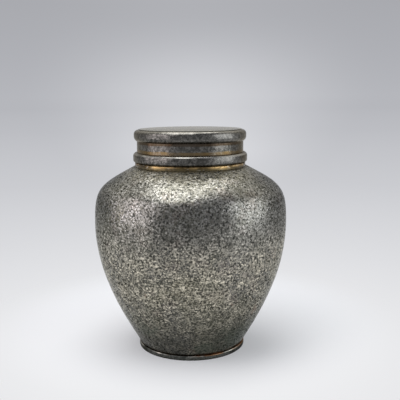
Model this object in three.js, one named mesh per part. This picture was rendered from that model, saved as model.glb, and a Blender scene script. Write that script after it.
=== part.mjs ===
// A turned tin tea caddy: a wide-shouldered jar on a foot ring, an inner lid that plugs its neck,
// and a deep overlapping cap. Millimetres, +Z up, origin at the centre of the foot's resting face.
import * as THREE from "three";

// Facets round every turned piece, and round the small turned knob
const SEGMENTS = 48;
const KNOB_SEGMENTS = 28;

// Foot ring and base plate
const FOOT_RADIUS = 41.5;
const FOOT_HEIGHT = 3.5;
const FOOT_WIDTH = 4.6;
const FOOT_TOP_ROUND = 0.8;
const FOOT_BASE_ROUND = 0.4;
const FOOT_LEDGE = 1.2;
const BASE_RECESS = 1.4;
const BASE_REBATE = 2.2;

// Cast shells of the jar, soldered together in a lap at the belly
const WALL = 2.2;
const BELLY_RADIUS = 74;
const BOWL_RISE = 95.6;
const BOWL_LEAN = 58.4;
const BOWL_FOOT_PULL = 36;
const BOWL_BELLY_PULL = 34.6;
const SHOULDER_RISE = 42.9;
const SHOULDER_SLOPE = 28.4;
const SHOULDER_BELLY_PULL = 27.5;
const SHOULDER_NECK_PULL = 30.6;
const SHOULDER_LEDGE = 0.4;
const LAP_DEPTH = 4;
const LAP_PLAY = 0.2;

// Neck and the raised seat that the cap comes down on
const NECK_RADIUS = 38.5;
const NECK_WALL = 2;
const NECK_HEIGHT = 13.4;
const NECK_ROUND = 0.6;
const SEAT_WIDTH = 3.75;
const SEAT_HEIGHT = 2.9;
const SEAT_ROUND = 0.8;

// Cap: a tube closed by a plate with a moulded rim, and a bead round its lower edge
const SKIRT_WALL = 2;
const CAP_PLATE = 2.2;
const RIM_HEIGHT = 9;
const RIM_PROJECTION = 2.1;
const RIM_UPPER_ROUND = 3.3;
const RIM_LOWER_ROUND = 4.2;
const PLATE_STEP = 0.45;
const PLATE_INSET = 0.4;
const BEAD_HEIGHT = 7.4;
const BEAD_PROJECTION = 2.85;
const BEAD_UPPER_ROUND = 2.7;
const BEAD_LOWER_ROUND = 1.7;

// Inner lid: a plate on the neck's mouth, a plug ring inside it and a riveted knob
const LID_PLATE = 1.6;
const LID_EDGE_INSET = 0.2;
const LID_ROUND = 0.5;
const PLUG_DEPTH = 8.5;
const PLUG_WALL = 1.6;
const PLUG_CHAMFER = 0.6;
const KNOB_HEIGHT = 6.2;
const KNOB_FOOT_RADIUS = 3.8;
const KNOB_WAIST_RADIUS = 2.3;
const KNOB_WAIST_TUCK = 0.4;
const KNOB_HEAD_RADIUS = 4.7;
const TENON_RADIUS = 1.6;
const PEEN_RADIUS = 2.5;
const PEEN_FLAT_RADIUS = 1.5;
const PEEN_HEIGHT = 0.7;
const ROVE_RADIUS = 4.6;
const ROVE_THICKNESS = 1;

// Where the knob's curves pull and meet, as shares of its height, and how flat its crown is
const KNOB_FOOT_SHARE = 0.15;
const KNOB_WAIST_SHARE = 0.45;
const KNOB_HEAD_SHARE = 0.62;
const KNOB_CROWN_SHARE = 0.9;
const KNOB_CROWN_PULL = 0.5;

// Clearances
const SOLDER_GAP = 0.15;
const SLIDING_GAP = 0.3;
const PLUG_GAP = 0.25;
const RESTING_GAP = 0.25;
const TENON_GAP = 0.15;
const KNOB_HEADROOM = 1.5;

// Heights and radii that follow from the sizes above
const bellyHeight = FOOT_HEIGHT + BOWL_RISE;
const shoulderTop = bellyHeight + SHOULDER_RISE;
const seatTop = shoulderTop + SEAT_HEIGHT;
const neckTop = seatTop + NECK_HEIGHT;
const lidBottom = neckTop + RESTING_GAP;
const lidTop = lidBottom + LID_PLATE;
const capBottom = seatTop + RESTING_GAP;
const capPlateBottom = lidTop + KNOB_HEIGHT + KNOB_HEADROOM;
const capTop = capPlateBottom + CAP_PLATE;
const neckBore = NECK_RADIUS - NECK_WALL;
const holeRadius = NECK_RADIUS + SOLDER_GAP;
const seatRadius = holeRadius + SEAT_WIDTH;
const shoulderTopRadius = seatRadius + SHOULDER_LEDGE;
const bowlFootRadius = FOOT_RADIUS - FOOT_LEDGE;
const skirtBore = NECK_RADIUS + SLIDING_GAP;
const bandRadius = skirtBore + SKIRT_WALL;
const mouldingBore = bandRadius + SOLDER_GAP;
const rimRadius = mouldingBore + RIM_PROJECTION;
const beadRadius = mouldingBore + BEAD_PROJECTION;

const radians = THREE.MathUtils.degToRad;
const at = (radius, height) => new THREE.Vector2(radius, height);

// Points on a round corner, from one angle to another, in degrees from the outward direction
function round(centreRadius, centreHeight, size, from, to, steps = 4) {
  const points = [];
  for (let i = 0; i <= steps; i++) {
    const angle = radians(from + ((to - from) * i) / steps);
    points.push(at(centreRadius + size * Math.cos(angle), centreHeight + size * Math.sin(angle)));
  }
  return points;
}

// Evenly spaced points on a curve, moved inwards along its normal by depth
function along(curve, steps, depth = 0) {
  const points = [];
  for (let i = 0; i <= steps; i++) {
    const point = curve.getPoint(i / steps);
    const tangent = curve.getTangent(i / steps);
    points.push(at(point.x - depth * tangent.y, point.y + depth * tangent.x));
  }
  return points;
}

// Revolves a profile of (radius, height) points, listed anticlockwise, about the Z axis.
// A ring's profile closes on itself, and a disc's starts and ends on the axis.
function turned(name, profile, finish, segments = SEGMENTS) {
  const onAxis = profile[0].x === 0;
  const outline = onAxis ? profile : [...profile, profile[0].clone()];
  const geometry = new THREE.LatheGeometry(outline, segments);
  geometry.rotateX(Math.PI / 2);
  const mesh = new THREE.Mesh(geometry, finish);
  mesh.name = name;
  return mesh;
}

function metal(color, roughness) {
  return new THREE.MeshStandardMaterial({ color, roughness, metalness: 1 });
}

const finishes = {
  mottled: metal(0x6f6f68, 0.42),
  polished: metal(0x62656a, 0.35),
  golden: metal(0x8a6a3a, 0.5),
  inside: metal(0x9a9a96, 0.45),
};

const bowlLean = radians(BOWL_LEAN);
const shoulderSlope = radians(SHOULDER_SLOPE);

// Outer line of the bowl, from the foot up to the belly, where it stands upright
const bowlCurve = new THREE.CubicBezierCurve(
  at(bowlFootRadius, FOOT_HEIGHT),
  at(
    bowlFootRadius + BOWL_FOOT_PULL * Math.cos(bowlLean),
    FOOT_HEIGHT + BOWL_FOOT_PULL * Math.sin(bowlLean),
  ),
  at(BELLY_RADIUS, bellyHeight - BOWL_BELLY_PULL),
  at(BELLY_RADIUS, bellyHeight),
);

// Outer line of the shoulder, from the belly in to the foot of the neck
const shoulderCurve = new THREE.CubicBezierCurve(
  at(BELLY_RADIUS, bellyHeight),
  at(BELLY_RADIUS, bellyHeight + SHOULDER_BELLY_PULL),
  at(
    shoulderTopRadius + SHOULDER_NECK_PULL * Math.cos(shoulderSlope),
    shoulderTop - SHOULDER_NECK_PULL * Math.sin(shoulderSlope),
  ),
  at(shoulderTopRadius, shoulderTop),
);

// Radius between the two halves of the belly lap
const lapRadius = BELLY_RADIUS - WALL / 2;

function footRing() {
  const inner = FOOT_RADIUS - FOOT_WIDTH;
  const rebate = inner + BASE_REBATE;
  return turned(
    "foot_ring",
    [
      at(inner, 0),
      ...round(FOOT_RADIUS - FOOT_BASE_ROUND, FOOT_BASE_ROUND, FOOT_BASE_ROUND, -90, 0, 3),
      ...round(FOOT_RADIUS - FOOT_TOP_ROUND, FOOT_HEIGHT - FOOT_TOP_ROUND, FOOT_TOP_ROUND, 0, 90, 3),
      at(rebate, FOOT_HEIGHT),
      at(rebate, BASE_RECESS),
      at(inner, BASE_RECESS),
    ],
    finishes.polished,
  );
}

function basePlate() {
  const radius = FOOT_RADIUS - FOOT_WIDTH + BASE_REBATE - SOLDER_GAP;
  return turned(
    "base_plate",
    [at(0, BASE_RECESS), at(radius, BASE_RECESS), at(radius, FOOT_HEIGHT), at(0, FOOT_HEIGHT)],
    finishes.mottled,
  );
}

function lowerBowl() {
  const step = bellyHeight - LAP_DEPTH;
  const inner = along(bowlCurve, 10, WALL)
    .slice(1)
    .filter((point) => point.y < step - LAP_DEPTH / 2)
    .reverse();
  return turned(
    "lower_bowl",
    [
      ...along(bowlCurve, 13),
      at(lapRadius + LAP_PLAY / 2, bellyHeight),
      at(lapRadius + LAP_PLAY / 2, step),
      at(BELLY_RADIUS - WALL, step),
      ...inner,
      at(bowlFootRadius - WALL / Math.sin(bowlLean), FOOT_HEIGHT),
    ],
    finishes.mottled,
  );
}

function shoulder() {
  const inner = along(shoulderCurve, 10, WALL);
  const flangeBottom = inner[inner.length - 1].y;
  const tongueBottom = bellyHeight - LAP_DEPTH + LAP_PLAY;
  return turned(
    "shoulder",
    [
      ...along(shoulderCurve, 13),
      at(holeRadius, shoulderTop),
      at(holeRadius, flangeBottom),
      ...inner.reverse(),
      at(BELLY_RADIUS - WALL, tongueBottom),
      at(lapRadius - LAP_PLAY / 2, tongueBottom),
      at(lapRadius - LAP_PLAY / 2, bellyHeight),
    ],
    finishes.mottled,
  );
}

function seatRing() {
  return turned(
    "seat_ring",
    [
      at(holeRadius, shoulderTop),
      at(seatRadius, shoulderTop),
      ...round(seatRadius - SEAT_ROUND, seatTop - SEAT_ROUND, SEAT_ROUND, 0, 90, 2),
      at(holeRadius, seatTop),
    ],
    finishes.golden,
  );
}

function neckCollar() {
  const bottom = shoulderTop - WALL * Math.cos(shoulderSlope);
  return turned(
    "neck_collar",
    [
      at(neckBore, bottom),
      at(NECK_RADIUS, bottom),
      ...round(NECK_RADIUS - NECK_ROUND, neckTop - NECK_ROUND, NECK_ROUND, 0, 90, 2),
      ...round(neckBore + NECK_ROUND, neckTop - NECK_ROUND, NECK_ROUND, 90, 180, 2),
    ],
    finishes.inside,
  );
}

// The plate that closes the cap, with its edge turned down over the skirt as a rounded rim.
// Its flat top stands a small step above the rim.
function capTopPlate() {
  const rimBottom = capTop - RIM_HEIGHT;
  const lowerCentre = rimRadius - RIM_LOWER_ROUND;
  const upperCentre = rimRadius - RIM_UPPER_ROUND;
  const rimTop = capTop - PLATE_STEP;
  const plateRadius = upperCentre - PLATE_INSET;
  const start = -THREE.MathUtils.radToDeg(Math.acos((mouldingBore - lowerCentre) / RIM_LOWER_ROUND));
  const lowerHeight = rimBottom - RIM_LOWER_ROUND * Math.sin(radians(start));
  return turned(
    "cap_top",
    [
      at(0, capPlateBottom),
      at(mouldingBore, capPlateBottom),
      ...round(lowerCentre, lowerHeight, RIM_LOWER_ROUND, start, 0, 4),
      ...round(upperCentre, rimTop - RIM_UPPER_ROUND, RIM_UPPER_ROUND, 0, 90, 6),
      at(plateRadius, rimTop),
      at(plateRadius, capTop),
      at(0, capTop),
    ],
    finishes.polished,
  );
}

function capSkirt() {
  return turned(
    "cap_skirt",
    [
      at(skirtBore, capBottom),
      at(bandRadius, capBottom),
      at(bandRadius, capPlateBottom),
      at(skirtBore, capPlateBottom),
    ],
    finishes.polished,
  );
}

function capBead() {
  const top = capBottom + BEAD_HEIGHT;
  return turned(
    "cap_bead",
    [
      at(mouldingBore, capBottom),
      ...round(
        beadRadius - BEAD_LOWER_ROUND,
        capBottom + BEAD_LOWER_ROUND,
        BEAD_LOWER_ROUND,
        -90,
        0,
        4,
      ),
      ...round(beadRadius - BEAD_UPPER_ROUND, top - BEAD_UPPER_ROUND, BEAD_UPPER_ROUND, 0, 90, 5),
      at(mouldingBore, top),
    ],
    finishes.polished,
  );
}

function innerLidPlate() {
  const radius = NECK_RADIUS - LID_EDGE_INSET;
  const hole = TENON_RADIUS + TENON_GAP;
  return turned(
    "inner_lid_plate",
    [
      at(hole, lidBottom),
      at(radius, lidBottom),
      ...round(radius - LID_ROUND, lidTop - LID_ROUND, LID_ROUND, 0, 90, 2),
      at(hole, lidTop),
    ],
    finishes.inside,
  );
}

function innerLidPlug() {
  const radius = neckBore - PLUG_GAP;
  const bottom = lidBottom - PLUG_DEPTH;
  return turned(
    "inner_lid_plug",
    [
      at(radius - PLUG_WALL, bottom),
      at(radius - PLUG_CHAMFER, bottom),
      at(radius, bottom + PLUG_CHAMFER),
      at(radius, lidBottom),
      at(radius - PLUG_WALL, lidBottom),
    ],
    finishes.inside,
  );
}

// A bud-shaped knob with its tenon through the plate and the rove, peened over below
function innerLidKnob() {
  const roveBottom = lidBottom - ROVE_THICKNESS;
  const top = lidTop + KNOB_HEIGHT;
  const neck = new THREE.CubicBezierCurve(
    at(KNOB_FOOT_RADIUS, lidTop),
    at(KNOB_WAIST_RADIUS, lidTop + KNOB_HEIGHT * KNOB_FOOT_SHARE),
    at(KNOB_WAIST_RADIUS - KNOB_WAIST_TUCK, lidTop + KNOB_HEIGHT * KNOB_WAIST_SHARE),
    at(KNOB_HEAD_RADIUS, lidTop + KNOB_HEIGHT * KNOB_HEAD_SHARE),
  );
  const head = new THREE.CubicBezierCurve(
    at(KNOB_HEAD_RADIUS, lidTop + KNOB_HEIGHT * KNOB_HEAD_SHARE),
    at(KNOB_HEAD_RADIUS, lidTop + KNOB_HEIGHT * KNOB_CROWN_SHARE),
    at(KNOB_HEAD_RADIUS * KNOB_CROWN_PULL, top),
    at(0, top),
  );
  return turned(
    "inner_lid_knob",
    [
      at(0, roveBottom - PEEN_HEIGHT),
      at(PEEN_FLAT_RADIUS, roveBottom - PEEN_HEIGHT),
      at(PEEN_RADIUS, roveBottom),
      at(TENON_RADIUS, roveBottom),
      at(TENON_RADIUS, lidTop),
      ...along(neck, 6),
      ...along(head, 6).slice(1),
    ],
    finishes.inside,
    KNOB_SEGMENTS,
  );
}

function knobRove() {
  const hole = TENON_RADIUS + TENON_GAP;
  return turned(
    "knob_rove",
    [
      at(hole, lidBottom - ROVE_THICKNESS),
      at(ROVE_RADIUS, lidBottom - ROVE_THICKNESS),
      at(ROVE_RADIUS, lidBottom),
      at(hole, lidBottom),
    ],
    finishes.inside,
    KNOB_SEGMENTS,
  );
}

const jar = new THREE.Group();
jar.add(footRing(), basePlate(), lowerBowl(), shoulder(), seatRing(), neckCollar());

const innerLid = new THREE.Group();
innerLid.add(innerLidPlate(), innerLidPlug(), innerLidKnob(), knobRove());

const cap = new THREE.Group();
cap.add(capTopPlate(), capSkirt(), capBead());

const caddy = new THREE.Group();
caddy.add(jar, innerLid, cap);

export default caddy;
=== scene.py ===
import math

import bpy
import numpy as np
from mathutils import Matrix, Vector, noise


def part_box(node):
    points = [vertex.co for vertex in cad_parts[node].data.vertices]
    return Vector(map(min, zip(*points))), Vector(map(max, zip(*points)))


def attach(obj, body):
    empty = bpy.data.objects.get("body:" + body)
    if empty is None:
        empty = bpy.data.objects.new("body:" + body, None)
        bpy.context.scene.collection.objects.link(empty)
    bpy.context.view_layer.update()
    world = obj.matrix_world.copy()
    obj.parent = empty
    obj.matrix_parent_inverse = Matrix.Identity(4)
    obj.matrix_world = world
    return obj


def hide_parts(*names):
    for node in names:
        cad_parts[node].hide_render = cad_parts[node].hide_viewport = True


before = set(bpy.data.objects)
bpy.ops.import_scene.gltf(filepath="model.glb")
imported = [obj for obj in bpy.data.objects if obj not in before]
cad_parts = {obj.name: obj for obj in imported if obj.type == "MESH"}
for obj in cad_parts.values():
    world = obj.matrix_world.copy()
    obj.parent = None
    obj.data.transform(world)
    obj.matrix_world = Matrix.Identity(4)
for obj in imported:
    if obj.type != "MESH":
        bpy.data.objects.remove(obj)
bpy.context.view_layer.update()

# Sizes in metres. Radii and heights come from the frame, and the curves' own values are named here.
MM = 0.001
GRAIN_SEED = 7
CAST_SEGMENTS = 576
PLAIN_SEGMENTS = 192
KNOB_SEGMENTS = 96
KNOB_STEPS = 24
SHARP_ANGLE = math.radians(42)
CURVE_STEPS = 200
HIDDEN_STEPS = 24
GRAIN_STEP = 0.75 * MM
WALL = 2.2 * MM
LAP_DEPTH = 4 * MM
LAP_PLAY = 0.2 * MM
FOOT_LEDGE = 1.2 * MM
FOOT_WIDTH = 4.6 * MM
FOOT_TOP_ROUND = 0.8 * MM
FOOT_BASE_ROUND = 0.4 * MM
BASE_REBATE = 2.2 * MM
BOWL_LEAN = math.radians(58.4)
BOWL_FOOT_PULL = 36 * MM
BOWL_BELLY_PULL = 34.6 * MM
SHOULDER_SLOPE = math.radians(28.4)
SHOULDER_BELLY_PULL = 27.5 * MM
SHOULDER_NECK_PULL = 30.6 * MM
SHOULDER_LEDGE = 0.4 * MM
SEAT_ROUND = 0.8 * MM
NECK_WALL = 2 * MM
NECK_ROUND = 0.6 * MM
LID_ROUND = 0.5 * MM
PLUG_WALL = 1.6 * MM
PLUG_CHAMFER = 0.6 * MM
KNOB_FOOT_RADIUS = 3.8 * MM
KNOB_WAIST_RADIUS = 2.3 * MM
KNOB_WAIST_TUCK = 0.4 * MM
KNOB_FOOT_SHARE = 0.15
KNOB_WAIST_SHARE = 0.45
KNOB_HEAD_SHARE = 0.62
KNOB_CROWN_SHARE = 0.9
KNOB_CROWN_PULL = 0.5
TENON_RADIUS = 1.6 * MM
PEEN_RADIUS = 2.5 * MM
PEEN_FLAT_RADIUS = 1.5 * MM
SKIRT_WALL = 2 * MM
RIM_UPPER_ROUND = 3.3 * MM
RIM_LOWER_ROUND = 4.2 * MM
PLATE_STEP = 0.45 * MM
PLATE_INSET = 0.4 * MM
PLATE_EDGE_ROUND = 0.15 * MM
BEAD_UPPER_ROUND = 2.7 * MM
BEAD_LOWER_ROUND = 1.7 * MM
SOLDER_GAP = 0.15 * MM
TENON_GAP = 0.15 * MM


def top_of(node):
    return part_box(node)[1].z


def foot_of(node):
    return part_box(node)[0].z


def radius_of(node):
    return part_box(node)[1].x


FOOT_RADIUS = radius_of("foot_ring")
FOOT_TOP = top_of("foot_ring")
BELLY_RADIUS = radius_of("lower_bowl")
BELLY_HEIGHT = top_of("lower_bowl")
SHOULDER_TOP = top_of("shoulder")
SEAT_RADIUS = radius_of("seat_ring")
SEAT_TOP = top_of("seat_ring")
NECK_RADIUS = radius_of("neck_collar")
NECK_TOP = top_of("neck_collar")
BAND_RADIUS = radius_of("cap_skirt")
BEAD_RADIUS = radius_of("cap_bead")
BEAD_FOOT = foot_of("cap_bead")
BEAD_TOP = top_of("cap_bead")
RIM_RADIUS = radius_of("cap_top")
RIM_FOOT = foot_of("cap_top")
CAP_TOP = top_of("cap_top")
PLATE_FOOT = top_of("cap_skirt")
LID_RADIUS = radius_of("inner_lid_plate")
LID_FOOT = foot_of("inner_lid_plate")
LID_TOP = top_of("inner_lid_plate")
PLUG_RADIUS = radius_of("inner_lid_plug")
PLUG_FOOT = foot_of("inner_lid_plug")
RIM_TOP = CAP_TOP - PLATE_STEP
PLATE_RADIUS = RIM_RADIUS - RIM_UPPER_ROUND - PLATE_INSET
NECK_BORE = NECK_RADIUS - NECK_WALL
SKIRT_BORE = BAND_RADIUS - SKIRT_WALL


# Outlines

def arc(radius, height, size, start, end, steps):
    """Points (radius, height) round a corner, from one angle to another in degrees."""
    angles = np.radians(np.linspace(start, end, steps + 1))
    return [(radius + size * math.cos(a), height + size * math.sin(a)) for a in angles]


def bezier(points, steps, depth=0.0):
    """A cubic curve's points, moved inwards along its normal by depth."""
    t = np.linspace(0, 1, steps + 1)[:, None]
    p = np.array(points, float)
    place = (1 - t) ** 3 * p[0] + 3 * (1 - t) ** 2 * t * p[1] + 3 * (1 - t) * t**2 * p[2] + t**3 * p[3]
    slope = (1 - t) ** 2 * (p[1] - p[0]) + 2 * (1 - t) * t * (p[2] - p[1]) + t**2 * (p[3] - p[2])
    slope /= np.linalg.norm(slope, axis=1)[:, None]
    inward = np.column_stack([-slope[:, 1], slope[:, 0]])
    return [tuple(q) for q in place + depth * inward]


def resample(points, step):
    """The same outline with a point about every step along it."""
    p = np.array(points, float)
    length = np.concatenate([[0], np.cumsum(np.linalg.norm(np.diff(p, axis=0), axis=1))])
    stations = np.linspace(0, length[-1], max(2, round(length[-1] / step)) + 1)
    radii = np.interp(stations, length, p[:, 0])
    heights = np.interp(stations, length, p[:, 1])
    return list(zip(radii, heights))


# Turned pieces

# The noise that bends the relief's grain draws its offsets from this seed.
noise.seed_set(GRAIN_SEED)


def relief(points, normals):
    """The points moved along their normals by a cast and etched surface, which has shallow swells, a wormy
    grain and scattered pits. Its heights are in millimetres."""
    heights = np.empty(len(points))
    for i, point in enumerate(points):
        p = Vector(point)
        swell = noise.noise(p * 45) * 0.10 + noise.noise(p * 130 + Vector((7, 3, 1))) * 0.035
        bend = noise.noise_vector(p * 300) * 0.0012
        grain = noise.noise((p + bend) * 430)
        worm = 1 - min(1, abs(grain) * 4)
        fine = noise.noise(p * 900 + Vector((2, 5, 9)))
        pit = max(0, noise.noise(p * 330 + Vector((11, 4, 6))) - 0.28)
        heights[i] = swell + 0.045 * worm + 0.02 * fine - 0.30 * pit
    return points + normals * (heights * MM)[:, None]


def roughened(points, seen, rows, ring):
    """The points, with the rows of the outline's seen stretch moved along their normals by the relief."""
    slope = np.gradient(seen, axis=0)
    slope /= np.linalg.norm(slope, axis=1)[:, None]
    for (run, rise), row in zip(slope, rows):
        normals = np.column_stack([ring * rise, np.full(len(ring), -run)])
        points[row] = relief(points[row], normals)
    return points


def swept(outline, ring):
    """The points of an outline turned about the axis, and where each of its rows is among them."""
    points = []
    rows = []
    for radius, height in outline:
        start = len(points)
        if radius < 1e-9:
            points.append((0.0, 0.0, height))
            rows.append([start] * len(ring))
        else:
            points.extend((radius * c, radius * s, height) for c, s in ring)
            rows.append(list(range(start, start + len(ring))))
    return np.array(points), rows


def faces_between(rows, closed):
    """Quads between neighbouring rows, or triangles where a row is one point on the axis."""
    pairs = list(zip(rows, rows[1:]))
    if closed:
        pairs.append((rows[-1], rows[0]))
    faces = []
    for low, high in pairs:
        for i in range(len(low)):
            j = (i + 1) % len(low)
            face = tuple(dict.fromkeys([low[i], low[j], high[j], high[i]]))
            if len(face) > 2:
                faces.append(face)
    return faces


def turned(name, seen, hidden, body, material, node, segments=PLAIN_SEGMENTS, cast=False, disc=False):
    """A closed body of revolution from the seen and hidden stretches of its outline, which together run
    anticlockwise in (radius, height). A cast piece's seen stretch takes the relief. A disc's outline
    starts and ends on the axis."""
    outline = np.array(list(seen) + list(hidden), float)
    angles = np.arange(segments) * 2 * math.pi / segments
    ring = np.column_stack([np.cos(angles), np.sin(angles)])
    points, rows = swept(outline, ring)
    if cast:
        points = roughened(points, outline[:len(seen)], rows, ring)
    mesh = bpy.data.meshes.new(name)
    mesh.from_pydata(points.tolist(), [], faces_between(rows, closed=not disc))
    mesh.shade_smooth()
    mesh.set_sharp_from_angle(angle=SHARP_ANGLE)
    piece = bpy.data.objects.new(name, mesh)
    bpy.context.scene.collection.objects.link(piece)
    mesh.materials.append(material)
    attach(piece, body)
    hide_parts(node)


# Materials

class Nodes:
    """A small helper that adds nodes to one material or world and joins them."""

    def __init__(self, owner, place="Object"):
        self.owner = owner
        owner.use_nodes = True
        self.tree = owner.node_tree
        self.shader = self.tree.nodes.get("Principled BSDF")
        self.place = self.add("ShaderNodeTexCoord").outputs[place]

    def add(self, kind, inputs=None, **settings):
        node = self.tree.nodes.new(kind)
        for key, value in settings.items():
            setattr(node, key, value)
        for key, value in (inputs or {}).items():
            self.feed(node.inputs[key], value)
        return node

    def feed(self, socket, value):
        if isinstance(value, bpy.types.NodeSocket):
            self.tree.links.new(value, socket)
        else:
            socket.default_value = value

    def noise(self, scale, detail=2.0, rough=0.5, distortion=0.0, place=None):
        inputs = {"Vector": place or self.place, "Scale": scale, "Detail": detail}
        inputs |= {"Roughness": rough, "Distortion": distortion}
        return self.add("ShaderNodeTexNoise", inputs).outputs["Fac"]

    def cells(self, scale):
        inputs = {"Vector": self.place, "Scale": scale}
        return self.add("ShaderNodeTexVoronoi", inputs).outputs["Distance"]

    def strokes(self, scale, frequency):
        """Short strokes in all directions, in small bunches that run side by side."""
        inputs = {"Vector": self.place, "Scale": scale, "Frequency": frequency, "Anisotropy": 0.0}
        return self.add("ShaderNodeTexGabor", inputs, gabor_type="3D").outputs["Value"]

    def math(self, operation, a, b=0.0):
        return self.add("ShaderNodeMath", {0: a, 1: b}, operation=operation).outputs[0]

    def span(self, value, low, high, to_low=0.0, to_high=1.0):
        inputs = {"Value": value, "From Min": low, "From Max": high, "To Min": to_low, "To Max": to_high}
        return self.add("ShaderNodeMapRange", inputs, interpolation_type="SMOOTHSTEP").outputs["Result"]

    def mix(self, factor, a, b, blend="MIX"):
        node = self.add("ShaderNodeMix", data_type="RGBA", blend_type=blend)
        self.feed(node.inputs["Factor"], factor)
        self.feed(node.inputs[6], a)
        self.feed(node.inputs[7], b)
        return node.outputs[2]

    def height(self):
        return self.add("ShaderNodeSeparateXYZ", {0: self.place}).outputs["Z"]

    def radius(self):
        """Distance from the jar's axis."""
        flat = self.add("ShaderNodeVectorMath", {0: self.place, 1: (1, 1, 0)}, operation="MULTIPLY")
        return self.add("ShaderNodeVectorMath", {0: flat.outputs[0]}, operation="LENGTH").outputs["Value"]

    def bump(self, height, strength, distance):
        inputs = {"Height": height, "Strength": strength, "Distance": distance}
        node = self.add("ShaderNodeBump", inputs)
        self.feed(self.shader.inputs["Normal"], node.outputs["Normal"])


# Colours, in linear light

DARK = (0.030, 0.031, 0.027, 1)
MID = (0.095, 0.094, 0.083, 1)
LIGHT = (0.61, 0.60, 0.57, 1)
WARM_LIGHT = (0.86, 0.80, 0.65, 1)
OLIVE = (0.104, 0.102, 0.065, 1)
PINKISH = (0.18, 0.145, 0.13, 1)
CREAM = (0.25, 0.23, 0.17, 1)
BROWN = (0.060, 0.040, 0.022, 1)
GOLDEN = (0.30, 0.215, 0.11, 1)
RUSTY = (0.19, 0.075, 0.028, 1)
CAP_DARK = (0.075, 0.073, 0.066, 1)
CAP_LIGHT = (0.165, 0.158, 0.144, 1)
PLATE_SHEEN = (0.375, 0.358, 0.305, 1)
CAP_GRAZING = (0.85, 0.81, 0.72, 1)
PLATE_GRAZING = (1, 0.99, 0.95, 1)
PATINA = (0.175, 0.117, 0.047, 1)
SEAT_DARK = (0.088, 0.062, 0.027, 1)
SEAT_GOLD = (0.52, 0.36, 0.165, 1)
SEAT_OLIVE = (0.120, 0.098, 0.052, 1)
COLLAR = (0.13, 0.115, 0.068, 1)
GRAZING_LOW = (1, 1, 0.97, 1)
GRAZING_HIGH = (0.78, 0.78, 0.76, 1)
GRAZING_SPECK = (0.2, 0.2, 0.19, 1)
# Pale wear, which on the foot ring's upper edge is also a painted highlight.
WORN_AND_SHEEN = (0.67, 0.635, 0.56, 1)
FOOT_DARK = (0.055, 0.058, 0.052, 1)
FOOT_LIGHT = (0.115, 0.116, 0.106, 1)
FOOT_GRAZING = (0.4, 0.4, 0.38, 1)
RUST = (0.25, 0.125, 0.055, 1)
GREENISH = (0.060, 0.082, 0.062, 1)
BRIGHT = (0.40, 0.39, 0.37, 1)
BRIGHTER = (0.48, 0.47, 0.45, 1)

# Places of stains, a paler patch, painted sheen and painted shade, in millimetres
# Painted sheen of the side lamps on the flanks and the left shoulder.
LEFT_FLANK_SHEEN = (-42, -58, 86)
RIGHT_FLANK_SHEEN = (40, -60, 90)
LEFT_SHOULDER_SHEEN = (-48, -38, 127)
LOW_RIGHT_SHADE = (45, -40, 45)
CAP_RIGHT_SHEEN = (27, -33, 157)
CAP_FRONT = (-2, -39, 157)
CAP_STAIN = (38, -16, 152)


def band(m, low, high, soft, wobble):
    """1 between two heights and 0 outside, with soft and wavy edges. soft and wobble are in millimetres."""
    wave = m.math("MULTIPLY", m.math("SUBTRACT", m.noise(60, 3), 0.5), wobble * MM)
    height = m.math("ADD", m.height(), wave)
    rise = m.span(height, low - soft * MM, low + soft * MM)
    fall = m.span(height, high - soft * MM, high + soft * MM, 1, 0)
    return m.math("MULTIPLY", rise, fall)


def patch(m, place, inner, outer, strength):
    """strength near a place on the piece, falling to 0 with a ragged edge. Sizes are in millimetres."""
    centre = {0: m.place, 1: tuple(v * MM for v in place)}
    away = m.add("ShaderNodeVectorMath", centre, operation="DISTANCE").outputs["Value"]
    ragged = m.math("MULTIPLY", m.math("SUBTRACT", m.noise(110, 3), 0.5), 0.7 * outer * MM)
    return m.span(m.math("ADD", away, ragged), inner * MM, outer * MM, strength, 0)


def worms(m, scale, width, detail=1.5):
    """Contour lines of a noise, which curl and close into rings like the marks on etched tin."""
    ridge = m.math("ABSOLUTE", m.math("SUBTRACT", m.noise(scale, detail, 0.55, 0.5), 0.5))
    return m.span(ridge, width * 0.3, width, 1, 0)


def pits(m, scale, share):
    """Small dark dots with a paler ring, in a share of the cells of a grid."""
    distance = m.math("ADD", m.cells(scale), m.math("MULTIPLY", m.noise(scale * 3, 1), 0.25))
    some = m.span(m.noise(scale * 0.45, 1), share, share + 0.06)
    dots = m.math("MULTIPLY", m.span(distance, 0.26, 0.42, 1, 0), some)
    halo = m.math("MULTIPLY", m.span(distance, 0.40, 0.50), m.span(distance, 0.54, 0.66, 1, 0))
    return dots, m.math("MULTIPLY", halo, some)


def clouded_ground(m, upper, collar):
    """The mottled tin's ground under its marks: olive, pinkish and creamy clouds on grey, painted paler below
    the neck and with painted sheen on the flanks.
    """
    base = m.mix(m.span(m.noise(26, 3), 0.42, 0.62, 0, 0.6), MID, OLIVE)
    base = m.mix(m.span(m.noise(70, 2), 0.54, 0.66, 0, 0.4), base, PINKISH)
    # Painted light: a paler cream band below the neck.
    base = m.mix(m.math("MULTIPLY", collar, 0.6), base, CREAM)
    cream = m.span(m.noise(60, 3, 0.6), 0.46, 0.66, 0, 0.5)
    base = m.mix(m.math("MULTIPLY", cream, m.span(upper, 0, 1, 1, 0.15)), base, CREAM)
    base = m.mix(m.math("MULTIPLY", upper, 0.12), base, CREAM)
    base = m.mix(m.span(m.noise(1000, 1, 0.6), 0.54, 0.66, 0, 0.2), base, LIGHT)
    # Painted sheen: paler ground where the side lamps' reflections fall on the flanks.
    base = m.mix(patch(m, RIGHT_FLANK_SHEEN, 8, 56, 0.13), base, LIGHT)
    return m.mix(patch(m, LEFT_FLANK_SHEEN, 5, 40, 0.08), base, LIGHT)


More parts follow.
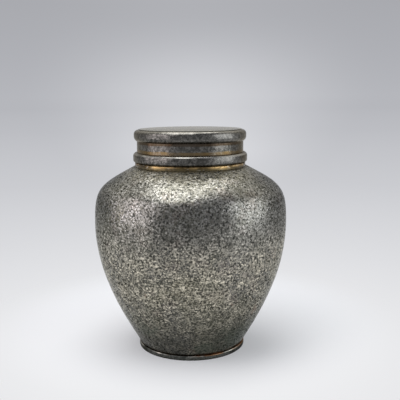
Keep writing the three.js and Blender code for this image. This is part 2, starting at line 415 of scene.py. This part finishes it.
def etched_marks(m, upper, foot, rubbed_sheen, collar):
    """How much of the pale worm-eaten marks shows, weaker above the belly and at the foot, and stronger where
    light is painted: high on the shoulder, below the neck, on the flanks and the left shoulder.
    """
    fine = m.span(m.strokes(260, 2.0), 0.58, 0.69)
    coarse = m.span(m.strokes(170, 1.8), 0.62, 0.71, 0, 0.85)
    bunches = m.math("MAXIMUM", fine, coarse)
    curls = m.math("MULTIPLY", worms(m, 330, 0.075), 0.45)
    patchy = m.span(m.noise(75, 3, 0.6), 0.36, 0.62, 0.5, 1)
    fade = m.math("MULTIPLY", m.span(upper, 0, 1, 1, 0.6), m.span(foot, 0, 1, 1, 0.6))
    # Painted highlight, partly wear: more pale marks high on the shoulder.
    fade = m.math("ADD", fade, m.math("MULTIPLY", rubbed_sheen, 0.12))
    # Painted light: more pale marks below the neck.
    fade = m.math("ADD", fade, m.math("MULTIPLY", collar, 0.35))
    # Painted sheen: more pale marks where the side lamps' reflections fall on the flanks and the left
    # shoulder.
    fade = m.math("ADD", fade, patch(m, LEFT_FLANK_SHEEN, 5, 46, 0.35))
    fade = m.math("ADD", fade, patch(m, RIGHT_FLANK_SHEEN, 5, 46, 0.22))
    fade = m.math("ADD", fade, patch(m, LEFT_SHOULDER_SHEEN, 5, 32, 0.35))
    return m.math("MULTIPLY", m.math("MAXIMUM", bunches, curls), m.math("MULTIPLY", patchy, fade))


def neck_stains(m, base, dull):
    """A dull brownish collar on the shoulder, browner right beside the seat."""
    base = m.mix(m.math("MULTIPLY", dull, m.span(m.noise(160, 2), 0.35, 0.6, 0.2, 0.65)), base, COLLAR)
    brown = band(m, SHOULDER_TOP - 0.9 * MM, SHOULDER_TOP + MM, 0.6, 1.2)
    return m.mix(m.math("MULTIPLY", brown, 0.8), base, SEAT_OLIVE)


def foot_shade_and_stains(m, base, foot):
    """A low body darkened towards the foot and at the low right by painted shade, greener near the foot, with
    brown and rust in the groove over the foot ring.
    """
    # Painted shade: darker below 80 mm, at the low right and most towards the foot.
    base = m.mix(m.span(m.height(), 40 * MM, 80 * MM, 0.15, 0), base, DARK)
    base = m.mix(patch(m, LOW_RIGHT_SHADE, 8, 34, 0.15), base, DARK)
    base = m.mix(m.math("MULTIPLY", foot, 0.52), base, DARK)
    base = m.mix(m.math("MULTIPLY", foot, m.span(m.noise(34, 2), 0.5, 0.64, 0, 0.5)), base, GREENISH)
    groove = m.math("MULTIPLY", band(m, FOOT_TOP - MM, FOOT_TOP + 0.8 * MM, 0.4, 1.0), 0.75)
    base = m.mix(groove, base, BROWN)
    return m.mix(m.math("MULTIPLY", groove, m.span(m.noise(70, 2), 0.5, 0.58)), base, RUST)


def mottled_tin():
    """Aged tin with a dense worm-eaten grain and broad stains, dull at the neck, with painted sheen and a
    painted paler band high up, and painted shade that darkens it towards the foot.
    """
    m = Nodes(bpy.data.materials.new("mottled_tin"))
    wavy_height = m.math("ADD", m.height(), m.math("MULTIPLY", m.noise(30, 2), 30 * MM))
    upper = m.span(wavy_height, 90 * MM, 130 * MM)
    foot = m.span(m.height(), 10 * MM, 45 * MM, 1, 0)
    # Below the neck the ground is painted paler and cream with more pale marks: painted light that lifts the
    # shade under the cap, with a cream tint.
    collar = m.span(m.height(), SHOULDER_TOP - 9 * MM, SHOULDER_TOP - 4 * MM)
    dull = m.span(m.height(), SHOULDER_TOP - 6 * MM, SHOULDER_TOP - 2 * MM)
    # Above 117 mm the shoulder is painted paler, with more pale marks: partly wear from handling, partly a
    # painted highlight where the top lamp falls.
    rubbed_sheen = m.span(m.height(), 117 * MM, 127 * MM)
    specks = m.span(m.noise(720, 2, 0.7), 0.41, 0.49, 0.9, 0.0)
    dots, halo = pits(m, 260, 0.52)
    marks = etched_marks(m, upper, foot, rubbed_sheen, collar)
    marks = m.math("MAXIMUM", marks, m.math("MULTIPLY", halo, 0.35))
    base = clouded_ground(m, upper, collar)
    base = m.mix(m.math("MULTIPLY", rubbed_sheen, 0.07), base, LIGHT)
    base = m.mix(marks, base, m.mix(upper, WARM_LIGHT, LIGHT))
    base = neck_stains(m, base, dull)
    base = m.mix(m.math("MAXIMUM", specks, m.math("MULTIPLY", dots, 0.85)), base, DARK)
    base = foot_shade_and_stains(m, base, foot)
    spots = m.math("MULTIPLY", m.span(m.noise(75, 2), 0.70, 0.76), m.span(upper, 0, 0.1, 0.3, 0))
    base = m.mix(spots, base, RUSTY)
    m.feed(m.shader.inputs["Base Color"], base)
    m.feed(m.shader.inputs["Roughness"], m.span(m.noise(300, 2), 0.3, 0.7, 0.21, 0.38))
    m.feed(m.shader.inputs["Metallic"], m.span(dull, 0, 1, 1, 0.7))
    grazing = m.mix(upper, GRAZING_LOW, GRAZING_HIGH)
    m.feed(m.shader.inputs["Specular Tint"], m.mix(specks, grazing, GRAZING_SPECK))
    m.bump(m.math("ADD", m.math("MULTIPLY", marks, 0.4), m.noise(800, 2)), 0.4, 0.0002)
    return m.owner


def cap_stains_and_shade(m, base):
    """Brown, golden and rusty patina in the corners over the bead and under the rim; the dark brown under the
    rim is also painted shade.
    """
    patches = m.span(m.noise(90, 3, 0.6), 0.34, 0.6, 0.5, 1)
    corner = m.math("MULTIPLY", band(m, BEAD_TOP, BEAD_TOP + 2.4 * MM, 0.5, 2), patches)
    base = m.mix(m.math("MULTIPLY", corner, 0.85), base, PATINA)
    seam = band(m, BEAD_TOP - 0.3 * MM, BEAD_TOP + 0.4 * MM, 0.3, 0.4)
    base = m.mix(m.math("MULTIPLY", seam, 0.7), base, BROWN)
    # Patina and painted shade: the crevice under the rim is painted dark brown where shade falls, with golden
    # streaks.
    crevice = band(m, RIM_FOOT - 1.8 * MM, RIM_FOOT + 0.7 * MM, 0.5, 0.8)
    base = m.mix(m.math("MULTIPLY", crevice, 0.85), base, BROWN)
    base = m.mix(m.math("MULTIPLY", crevice, m.span(m.noise(26, 2), 0.56, 0.7, 0, 0.6)), base, GOLDEN)
    stain = m.math("MULTIPLY", band(m, BEAD_TOP, RIM_FOOT, 1, 2), m.span(m.noise(55, 2), 0.56, 0.70, 0, 0.3))
    base = m.mix(stain, base, RUSTY)
    return m.mix(patch(m, CAP_STAIN, 3, 10, 0.6), base, BROWN)


def cap_wear_and_sheen(m, base):
    """Painted sheen on the right of the rim and the bead, a slightly paler patch at the front, and paler
    upper edges of the rim and the bead, worn and also painted highlights.
    """
    mouldings = m.math("SUBTRACT", 1, band(m, BEAD_TOP, RIM_FOOT, 0.5, 0.5))
    # Painted sheen: the right lamp's reflection on the rim and the bead, painted paler.
    base = m.mix(m.math("MULTIPLY", patch(m, CAP_RIGHT_SHEEN, 8, 23, 0.09), mouldings), base, LIGHT)
    # A slightly paler patch at the front of the cap.
    base = m.mix(patch(m, CAP_FRONT, 3, 17, 0.045), base, LIGHT)
    # Worn and also painted highlights: the upper edges of the rim and the bead are paler where the lamps'
    # highlights fall.
    edge = m.span(m.height(), RIM_TOP - 1.5 * MM, RIM_TOP - 0.7 * MM)
    base = m.mix(m.math("MULTIPLY", edge, m.span(m.noise(200, 2), 0.3, 0.6, 0.05, 0.2)), base, LIGHT)
    lip = band(m, BEAD_TOP - 1.5 * MM, BEAD_TOP - 0.4 * MM, 0.3, 0.2)
    return m.mix(m.math("MULTIPLY", lip, m.span(m.noise(120, 2), 0.35, 0.6, 0.1, 0.45)), base, LIGHT)


def cap_tin():
    """Smoother dark tin of the cap, its flat top painted pale as a painted reflection, a painted dark line at
    the plate's step, and brown patina left in its corners.
    """
    m = Nodes(bpy.data.materials.new("dark_tin"))
    base = m.mix(m.span(m.noise(330, 3, 0.65, 0.6), 0.42, 0.6), CAP_DARK, CAP_LIGHT)
    base = m.mix(m.span(m.noise(560, 2, 0.6), 0.36, 0.46, 0.7, 0.0), base, DARK)
    base = m.mix(m.span(m.strokes(300, 2.0), 0.58, 0.8, 0, 0.22), base, LIGHT)
    base = cap_wear_and_sheen(m, cap_stains_and_shade(m, base))
    # Painted shade: a dark line on the plate's low step, standing in for the dark it reflects.
    high = m.span(m.height(), RIM_TOP - 0.3 * MM, RIM_TOP - 0.1 * MM)
    step = m.span(m.radius(), PLATE_RADIUS + 0.8 * MM, PLATE_RADIUS + 0.4 * MM)
    base = m.mix(m.math("MULTIPLY", high, step), base, DARK)
    # Painted reflection: the flat top is painted pale beige, standing in for the bright background it
    # reflects.
    plate = m.math("MULTIPLY", high, m.span(m.radius(), PLATE_RADIUS - 0.1 * MM, PLATE_RADIUS - 0.2 * MM))
    fine = m.span(m.noise(240, 3, 0.6), 0.3, 0.7, 0.82, 0.96)
    base = m.mix(m.math("MULTIPLY", plate, fine), base, PLATE_SHEEN)
    m.feed(m.shader.inputs["Base Color"], base)
    m.feed(m.shader.inputs["Roughness"], m.span(m.noise(300, 2), 0.3, 0.7, 0.18, 0.34))
    m.shader.inputs["Metallic"].default_value = 1.0
    m.feed(m.shader.inputs["Specular Tint"], m.mix(plate, CAP_GRAZING, PLATE_GRAZING))
    m.bump(m.noise(600, 2), 0.3, 0.0002)
    return m.owner


def golden_tin():
    """Brown and golden patina of the seat, in patches drawn out round the neck."""
    m = Nodes(bpy.data.materials.new("golden_tin"))
    stretch = m.add("ShaderNodeVectorMath", {0: m.place, 1: (1, 1, 3)}, operation="MULTIPLY").outputs[0]
    base = m.mix(m.span(m.noise(70, 3, 0.6, place=stretch), 0.44, 0.64), SEAT_DARK, SEAT_GOLD)
    low = m.span(m.height(), SHOULDER_TOP + 0.6 * MM, SEAT_TOP - 0.8 * MM, 0.85, 0)
    base = m.mix(low, base, SEAT_OLIVE)
    base = m.mix(m.span(m.noise(240, 2, place=stretch), 0.34, 0.46, 0.6, 0), base, BROWN)
    base = m.mix(m.span(m.noise(300, 2, place=stretch), 0.58, 0.68, 0, 0.35), base, WORN_AND_SHEEN)
    m.feed(m.shader.inputs["Base Color"], base)
    m.feed(m.shader.inputs["Roughness"], m.span(m.noise(200, 2), 0.3, 0.7, 0.3, 0.5))
    m.shader.inputs["Metallic"].default_value = 1.0
    m.bump(m.noise(400, 2), 0.4, 0.0003)
    return m.owner


def foot_tin():
    """Dark tin of the foot ring, worn and painted bright along its upper edge as a painted highlight, brown
    on the ledge, and painted dark along its base as a painted contact shadow.
    """
    m = Nodes(bpy.data.materials.new("foot_tin"))
    base = m.mix(m.span(m.noise(350, 3, 0.6), 0.4, 0.62), FOOT_DARK, FOOT_LIGHT)
    edge = m.span(m.height(), FOOT_TOP - 0.9 * MM, FOOT_TOP - 0.5 * MM)
    outer = m.span(m.radius(), FOOT_RADIUS - 0.6 * MM, FOOT_RADIUS - 0.4 * MM)
    # Worn and painted highlight: the ring's outer upper edge is painted pale where the side lamps catch it.
    edge_wear_and_sheen = m.math("MULTIPLY", edge, m.span(m.noise(48, 3), 0.46, 0.6, 0, 0.6))
    base = m.mix(m.math("MULTIPLY", edge_wear_and_sheen, outer), base, WORN_AND_SHEEN)
    ledge = m.math("MULTIPLY", edge, m.math("SUBTRACT", 1, outer))
    base = m.mix(m.math("MULTIPLY", ledge, 0.8), base, BROWN)
    base = m.mix(m.math("MULTIPLY", edge, m.span(m.noise(70, 2), 0.5, 0.6, 0, 0.7)), base, RUST)
    # Painted shade: a dark line along the ring's base where it meets the floor, standing in for contact
    # shadow.
    base = m.mix(m.span(m.height(), 0.5 * MM, 1.1 * MM, 0.85, 0), base, DARK)
    m.feed(m.shader.inputs["Base Color"], base)
    m.feed(m.shader.inputs["Roughness"], m.span(m.noise(300, 2), 0.3, 0.7, 0.24, 0.4))
    m.shader.inputs["Metallic"].default_value = 1.0
    m.shader.inputs["Specular Tint"].default_value = FOOT_GRAZING
    m.bump(m.noise(600, 2), 0.25, 0.0002)
    return m.owner


def bright_tin():
    """Plain turned tin of the neck and the inner lid, which the cap keeps clean."""
    m = Nodes(bpy.data.materials.new("bright_tin"))
    base = m.mix(m.span(m.noise(350, 3, 0.6), 0.4, 0.62), BRIGHT, BRIGHTER)
    base = m.mix(m.span(m.noise(480, 1), 0.3, 0.42, 0.1, 0.0), base, DARK)
    m.feed(m.shader.inputs["Base Color"], base)
    m.feed(m.shader.inputs["Roughness"], m.span(m.noise(300, 2), 0.3, 0.7, 0.3, 0.46))
    m.shader.inputs["Metallic"].default_value = 1.0
    turning = m.add("ShaderNodeCombineXYZ", {0: m.radius(), 2: m.height()}).outputs[0]
    m.bump(m.noise(1100, 3, 0.7, place=turning), 0.25, 0.0002)
    return m.owner


MOTTLED = mottled_tin()
CAP_TIN = cap_tin()
FOOT_TIN = foot_tin()
GOLDEN_TIN = golden_tin()
BRIGHT_TIN = bright_tin()


# Pieces of the jar

BOWL_FOOT_RADIUS = FOOT_RADIUS - FOOT_LEDGE
BOWL_CURVE = [
    (BOWL_FOOT_RADIUS, FOOT_TOP),
    (
        BOWL_FOOT_RADIUS + BOWL_FOOT_PULL * math.cos(BOWL_LEAN),
        FOOT_TOP + BOWL_FOOT_PULL * math.sin(BOWL_LEAN),
    ),
    (BELLY_RADIUS, BELLY_HEIGHT - BOWL_BELLY_PULL),
    (BELLY_RADIUS, BELLY_HEIGHT),
]
SHOULDER_TOP_RADIUS = SEAT_RADIUS + SHOULDER_LEDGE
SHOULDER_CURVE = [
    (BELLY_RADIUS, BELLY_HEIGHT),
    (BELLY_RADIUS, BELLY_HEIGHT + SHOULDER_BELLY_PULL),
    (
        SHOULDER_TOP_RADIUS + SHOULDER_NECK_PULL * math.cos(SHOULDER_SLOPE),
        SHOULDER_TOP - SHOULDER_NECK_PULL * math.sin(SHOULDER_SLOPE),
    ),
    (SHOULDER_TOP_RADIUS, SHOULDER_TOP),
]
BASE_RECESS = foot_of("base_plate")
LAP_STEP = BELLY_HEIGHT - LAP_DEPTH
LAP_RADIUS = BELLY_RADIUS - WALL / 2
COLLAR_HOLE = NECK_RADIUS + SOLDER_GAP


def make_foot():
    """The foot ring, and the plate that lies in its rebate."""
    bore = FOOT_RADIUS - FOOT_WIDTH
    rebate = bore + BASE_REBATE
    lower, upper = FOOT_BASE_ROUND, FOOT_TOP_ROUND
    ring = arc(FOOT_RADIUS - lower, lower, lower, -90, 0, 6)
    ring += arc(FOOT_RADIUS - upper, FOOT_TOP - upper, upper, 0, 90, 8)
    inside = [(rebate, FOOT_TOP), (rebate, BASE_RECESS), (bore, BASE_RECESS), (bore, 0)]
    turned("foot_ring_turned", ring, inside, "jar", FOOT_TIN, "foot_ring")
    edge = radius_of("base_plate")
    plate = [(0, BASE_RECESS), (edge, BASE_RECESS), (edge, FOOT_TOP), (0, FOOT_TOP)]
    turned("base_plate_turned", plate, [], "jar", MOTTLED, "base_plate", disc=True)


def make_bowl():
    """The lower shell, thinned at the belly to take the shoulder's lap."""
    inside = [p for p in bezier(BOWL_CURVE, HIDDEN_STEPS, WALL)[1:] if p[1] < LAP_STEP - LAP_DEPTH / 2]
    lap = LAP_RADIUS + LAP_PLAY / 2
    hidden = [(lap, BELLY_HEIGHT), (lap, LAP_STEP), (BELLY_RADIUS - WALL, LAP_STEP)]
    hidden += inside[::-1] + [(BOWL_FOOT_RADIUS - WALL / math.sin(BOWL_LEAN), FOOT_TOP)]
    seen = resample(bezier(BOWL_CURVE, CURVE_STEPS), GRAIN_STEP)
    turned("lower_bowl_cast", seen, hidden, "jar", MOTTLED, "lower_bowl",
           segments=CAST_SEGMENTS, cast=True)


def make_shoulder():
    """The upper shell, with a tongue that laps down inside the bowl."""
    inside = bezier(SHOULDER_CURVE, HIDDEN_STEPS, WALL)[::-1]
    hidden = [(COLLAR_HOLE, SHOULDER_TOP), (COLLAR_HOLE, inside[0][1])] + inside
    tongue = LAP_STEP + LAP_PLAY
    lap = LAP_RADIUS - LAP_PLAY / 2
    hidden += [(BELLY_RADIUS - WALL, tongue), (lap, tongue), (lap, BELLY_HEIGHT)]
    seen = resample(bezier(SHOULDER_CURVE, CURVE_STEPS), GRAIN_STEP)
    turned("shoulder_cast", seen, hidden, "jar", MOTTLED, "shoulder",
           segments=CAST_SEGMENTS, cast=True)


def make_seat():
    edge = SEAT_ROUND
    seat = [(SEAT_RADIUS, SHOULDER_TOP)] + arc(SEAT_RADIUS - edge, SEAT_TOP - edge, edge, 0, 90, 8)
    inside = [(COLLAR_HOLE, SEAT_TOP), (COLLAR_HOLE, SHOULDER_TOP)]
    turned("seat_ring_turned", seat, inside, "jar", GOLDEN_TIN, "seat_ring")


def make_neck():
    edge = NECK_ROUND
    bottom = foot_of("neck_collar")
    neck = [(NECK_RADIUS, bottom)] + arc(NECK_RADIUS - edge, NECK_TOP - edge, edge, 0, 90, 4)
    neck += arc(NECK_BORE + edge, NECK_TOP - edge, edge, 90, 180, 4) + [(NECK_BORE, bottom)]
    turned("neck_collar_turned", neck, [], "jar", BRIGHT_TIN, "neck_collar")


# Pieces of the inner lid

TENON_HOLE = TENON_RADIUS + TENON_GAP


def make_lid_plate():
    edge = LID_ROUND
    plate = [(LID_RADIUS, LID_FOOT)] + arc(LID_RADIUS - edge, LID_TOP - edge, edge, 0, 90, 4)
    inside = [(TENON_HOLE, LID_TOP), (TENON_HOLE, LID_FOOT)]
    turned("inner_lid_plate_turned", plate, inside, "inner_lid", BRIGHT_TIN, "inner_lid_plate")


def make_plug():
    bore = PLUG_RADIUS - PLUG_WALL
    plug = [(PLUG_RADIUS - PLUG_CHAMFER, PLUG_FOOT), (PLUG_RADIUS, PLUG_FOOT + PLUG_CHAMFER)]
    plug += [(PLUG_RADIUS, LID_FOOT)]
    inside = [(bore, LID_FOOT), (bore, PLUG_FOOT)]
    turned("inner_lid_plug_turned", plug, inside, "inner_lid", BRIGHT_TIN, "inner_lid_plug")


def make_knob():
    """The knob with its tenon, which is peened over the rove under the plate."""
    foot = foot_of("inner_lid_knob")
    rove = foot_of("knob_rove")
    shank = [(0, foot), (PEEN_FLAT_RADIUS, foot), (PEEN_RADIUS, rove)]
    shank += [(TENON_RADIUS, rove), (TENON_RADIUS, LID_TOP)]
    turned("inner_lid_knob_turned", shank + knob_outline(), [],
           "inner_lid", BRIGHT_TIN, "inner_lid_knob", segments=KNOB_SEGMENTS, disc=True)
    edge = radius_of("knob_rove")
    washer = [(TENON_HOLE, rove), (edge, rove), (edge, LID_FOOT)]
    turned("knob_rove_turned", washer, [(TENON_HOLE, LID_FOOT)],
           "inner_lid", BRIGHT_TIN, "knob_rove", segments=KNOB_SEGMENTS)


def knob_outline():
    """The knob above the plate: a flared foot, a waist and a domed head."""
    top = top_of("inner_lid_knob")
    head = radius_of("inner_lid_knob")
    height = top - LID_TOP
    neck = [
        (KNOB_FOOT_RADIUS, LID_TOP),
        (KNOB_WAIST_RADIUS, LID_TOP + height * KNOB_FOOT_SHARE),
        (KNOB_WAIST_RADIUS - KNOB_WAIST_TUCK, LID_TOP + height * KNOB_WAIST_SHARE),
        (head, LID_TOP + height * KNOB_HEAD_SHARE),
    ]
    crown = [neck[-1], (head, LID_TOP + height * KNOB_CROWN_SHARE), (head * KNOB_CROWN_PULL, top), (0, top)]
    return bezier(neck, KNOB_STEPS) + bezier(crown, KNOB_STEPS)[1:]


# Pieces of the cap

SKIRT_HOLE = BAND_RADIUS + SOLDER_GAP


def make_cap_top():
    """The plate, a low step, and the thick rounded rim that turns down over the skirt."""
    lower, upper = RIM_LOWER_ROUND, RIM_UPPER_ROUND
    start = -math.degrees(math.acos((SKIRT_HOLE - RIM_RADIUS + lower) / lower))
    rim = [(0, PLATE_FOOT), (SKIRT_HOLE, PLATE_FOOT)]
    rim += arc(RIM_RADIUS - lower, RIM_FOOT - lower * math.sin(math.radians(start)), lower, start, 0, 12)
    rim += arc(RIM_RADIUS - upper, RIM_TOP - upper, upper, 0, 90, 14)
    edge = PLATE_EDGE_ROUND
    rim += [(PLATE_RADIUS, RIM_TOP)] + arc(PLATE_RADIUS - edge, CAP_TOP - edge, edge, 0, 90, 3)
    rim += [(0, CAP_TOP)]
    turned("cap_top_turned", rim, [], "cap", CAP_TIN, "cap_top", disc=True)


def make_cap_skirt():
    foot = foot_of("cap_skirt")
    skirt = [(SKIRT_BORE, foot), (BAND_RADIUS, foot), (BAND_RADIUS, PLATE_FOOT)]
    turned("cap_skirt_turned", skirt, [(SKIRT_BORE, PLATE_FOOT)], "cap", CAP_TIN, "cap_skirt")


def make_cap_bead():
    lower, upper = BEAD_LOWER_ROUND, BEAD_UPPER_ROUND
    bead = arc(BEAD_RADIUS - lower, BEAD_FOOT + lower, lower, -90, 0, 8)
    bead += arc(BEAD_RADIUS - upper, BEAD_TOP - upper, upper, 0, 90, 12)
    inside = [(SKIRT_HOLE, BEAD_TOP), (SKIRT_HOLE, BEAD_FOOT)]
    turned("cap_bead_turned", bead, inside, "cap", CAP_TIN, "cap_bead")


# Stage, lights and camera

# Background levels, as stops of (share of the way, level), and the colours added to them. The floor's
# way runs over powers of ten of the distance in metres, and the wall's over the height of its direction.
HORIZON = 0.475
FLOOR_NEAR_POWER = -1
FLOOR_FAR_POWER = 1
FLOOR_LEVELS = [
    (0, 0.88), (0.24, 0.753), (0.41, 0.658), (0.5, 0.604), (0.61, 0.565), (0.76, 0.515), (1, HORIZON),
]
WALL_LEVELS = [(0, HORIZON), (0.26, 0.39), (1, 0.43)]
WALL_TOP = 0.5
COOL_TINT = (-0.025, -0.01, 0.055)
GLOW = 0.17
GLOW_WIDTH = 0.27
WALL_ABOVE = (0.21, 0.20, 0.18, 1)
WALL_OVERHEAD = (0.29, 0.275, 0.22, 1)
ROOM = (0.42, 0.435, 0.475, 1)
FLOOR = (0.72, 0.728, 0.742, 1)

# Places of the floor, the lamps and the camera, in metres
FLOOR_RADIUS = 60.0
FLOOR_CORNERS = 96
SHADOW_MIDDLE = (0, 0.06, 0)
LAMP_TARGET = (0, 0, 0.12)
LENS = 59.45
CAMERA_PLACE = (0.0073, -0.5085, 0.195)
CAMERA_TILT = math.radians(81.02)
CAMERA_ROLL = math.radians(-0.38)


def shown(m):
    """1 for the rays that see the background: the camera's, and those that metal and glass pass on."""
    path = m.add("ShaderNodeLightPath").outputs
    either = m.math("MAXIMUM", path["Is Camera Ray"], path["Is Glossy Ray"])
    return m.math("MAXIMUM", either, path["Is Transmission Ray"])


def ramp(m, value, low, high, stops):
    """A grey that follows value from low to high through stops of (share, level), cooler where darker."""
    share = m.add("ShaderNodeMapRange", {"Value": value, "From Min": low, "From Max": high}).outputs["Result"]
    node = m.add("ShaderNodeValToRGB", {"Fac": share})
    elements = node.color_ramp.elements
    while len(elements) < len(stops):
        elements.new(0.5)
    for element, (position, level) in zip(elements, stops):
        cool = (1 - level) / (1 - HORIZON)
        element.position = position
        element.color = (*(level * (1 + tint * cool) for tint in COOL_TINT), 1)
    return node.outputs["Color"]


def dimmed(m, colour, direction, strength):
    """The background's colour, a little darker on the camera's side."""
    split = m.add("ShaderNodeSeparateXYZ", {0: direction})
    share = m.span(split.outputs["Y"], -0.95, -0.55, 0.2, 0)
    return m.mix(m.math("MULTIPLY", share, strength), colour, DARK)


def with_glow(m, colour, direction, strength):
    """The background's colour with a soft glow round the middle of its far side."""
    split = m.add("ShaderNodeSeparateXYZ", {0: direction})
    across = m.span(m.math("ABSOLUTE", split.outputs["X"]), 0, GLOW_WIDTH, 1, 0)
    ahead = m.math("GREATER_THAN", split.outputs["Y"], 0)
    share = m.math("MULTIPLY", m.math("MULTIPLY", across, ahead), strength)
    return m.mix(share, colour, (GLOW, GLOW, GLOW, 1), "ADD")


def floor_material():
    """A pale floor that takes the jar's shadow, and goes over into the background's levels away from it."""
    m = Nodes(bpy.data.materials.new("floor"))
    m.shader.inputs["Base Color"].default_value = FLOOR
    m.shader.inputs["Roughness"].default_value = 0.9
    m.shader.inputs["Specular IOR Level"].default_value = 0.1
    reach = m.add("ShaderNodeVectorMath", {0: m.place}, operation="LENGTH").outputs["Value"]
    power = m.math("LOGARITHM", reach, 10)
    colour = ramp(m, power, FLOOR_NEAR_POWER, FLOOR_FAR_POWER, FLOOR_LEVELS)
    direction = m.add("ShaderNodeVectorMath", {0: m.place}, operation="NORMALIZE").outputs["Vector"]
    colour = with_glow(m, colour, direction, m.span(reach, 0.3, 2))
    colour = dimmed(m, colour, direction, m.span(reach, 0.25, 0.6))
    far = m.add("ShaderNodeEmission", {"Color": colour})
    away = m.add("ShaderNodeVectorMath", {0: m.place, 1: SHADOW_MIDDLE}, operation="DISTANCE")
    blend = m.span(away.outputs["Value"], 0.1, 0.19, 0.3, 1.0)
    blend = m.math("MULTIPLY", blend, shown(m))
    both = m.add("ShaderNodeMixShader", {0: blend, 1: m.shader.outputs[0], 2: far.outputs[0]})
    m.feed(m.tree.nodes["Material Output"].inputs["Surface"], both.outputs[0])
    return m.owner


def make_floor():
    mesh = bpy.data.meshes.new("floor")
    angles = [2 * math.pi * i / FLOOR_CORNERS for i in range(FLOOR_CORNERS)]
    points = [(FLOOR_RADIUS * math.cos(angle), FLOOR_RADIUS * math.sin(angle), 0) for angle in angles]
    mesh.from_pydata(points, [], [tuple(range(FLOOR_CORNERS))])
    floor = bpy.data.objects.new("floor", mesh)
    bpy.context.scene.collection.objects.link(floor)
    mesh.materials.append(floor_material())


def make_world():
    """The wall that the camera and the metal see, and a plain room that lights the jar."""
    world = bpy.data.worlds.new("studio")
    bpy.context.scene.world = world
    w = Nodes(world, "Generated")
    colour = ramp(w, w.height(), 0, WALL_TOP, WALL_LEVELS)
    colour = with_glow(w, colour, w.place, w.span(w.height(), 0, 0.12, 1, 0.2))
    colour = dimmed(w, colour, w.place, w.span(w.height(), 0, 0.12, 1, 0))
    split = w.add("ShaderNodeSeparateXYZ", {0: w.place})
    aside = w.span(w.math("ABSOLUTE", split.outputs["X"]), 0.32, 0.5, 0.2, 1)
    above = w.math("MULTIPLY", aside, w.span(w.height(), 0.03, 0.25))
    above = w.math("MAXIMUM", above, w.span(w.height(), 0.2, 0.5))
    behind = w.math("MULTIPLY", above, w.span(split.outputs["Y"], -0.2, 0.2))
    colour = w.mix(behind, colour, WALL_ABOVE, "ADD")
    overhead = w.math("MULTIPLY", behind, w.span(w.height(), 0.35, 0.6))
    colour = w.mix(overhead, colour, WALL_OVERHEAD, "ADD")
    wall = w.add("ShaderNodeBackground", {"Color": colour})
    plain = w.tree.nodes["Background"]
    plain.inputs["Color"].default_value = ROOM
    both = w.add("ShaderNodeMixShader", {0: shown(w), 1: plain.outputs[0], 2: wall.outputs[0]})
    w.feed(w.tree.nodes["World Output"].inputs["Surface"], both.outputs[0])


def softbox(name, place, width, height, level, color, turn=0):
    """A rectangular lamp whose face shows at level, where 1 is white, turned on its face by turn degrees."""
    light = bpy.data.lights.new(name, "AREA")
    light.shape = "RECTANGLE"
    light.size = width
    light.size_y = height
    light.energy = level * math.pi * width * height
    light.color = color
    lamp = bpy.data.objects.new(name, light)
    bpy.context.scene.collection.objects.link(lamp)
    lamp.location = place
    aim = (Vector(LAMP_TARGET) - Vector(place)).to_track_quat("-Z", "Y").to_matrix()
    lamp.rotation_euler = (aim @ Matrix.Rotation(math.radians(turn), 3, "Z")).to_euler()
    lamp.visible_camera = False


def make_lights():
    softbox("top_softbox", place=(-0.12, 0.045, 1.0), width=1.32, height=0.68,
            level=3.15, color=(1, 0.995, 0.975), turn=3)
    softbox("left_softbox", place=(-0.95, -0.36, 0.38), width=1.0, height=1.12,
            level=1.85, color=(1, 0.93, 0.97))
    softbox("right_softbox", place=(0.98, -0.30, 0.34), width=0.88, height=0.94,
            level=1.82, color=(0.95, 0.98, 1))


def make_camera():
    data = bpy.data.cameras.new("camera")
    data.sensor_width = 36
    data.lens = LENS
    camera = bpy.data.objects.new("camera", data)
    bpy.context.scene.collection.objects.link(camera)
    camera.location = CAMERA_PLACE
    tilt = Matrix.Rotation(CAMERA_TILT, 3, "X")
    roll = Matrix.Rotation(CAMERA_ROLL, 3, "Z")
    camera.rotation_euler = (tilt @ roll).to_euler()
    bpy.context.scene.camera = camera


bpy.context.scene.view_settings.view_transform = "Standard"
make_camera()
make_floor()
make_world()
make_lights()
make_foot()
make_bowl()
make_shoulder()
make_seat()
make_neck()
make_lid_plate()
make_plug()
make_knob()
make_cap_top()
make_cap_skirt()
make_cap_bead()
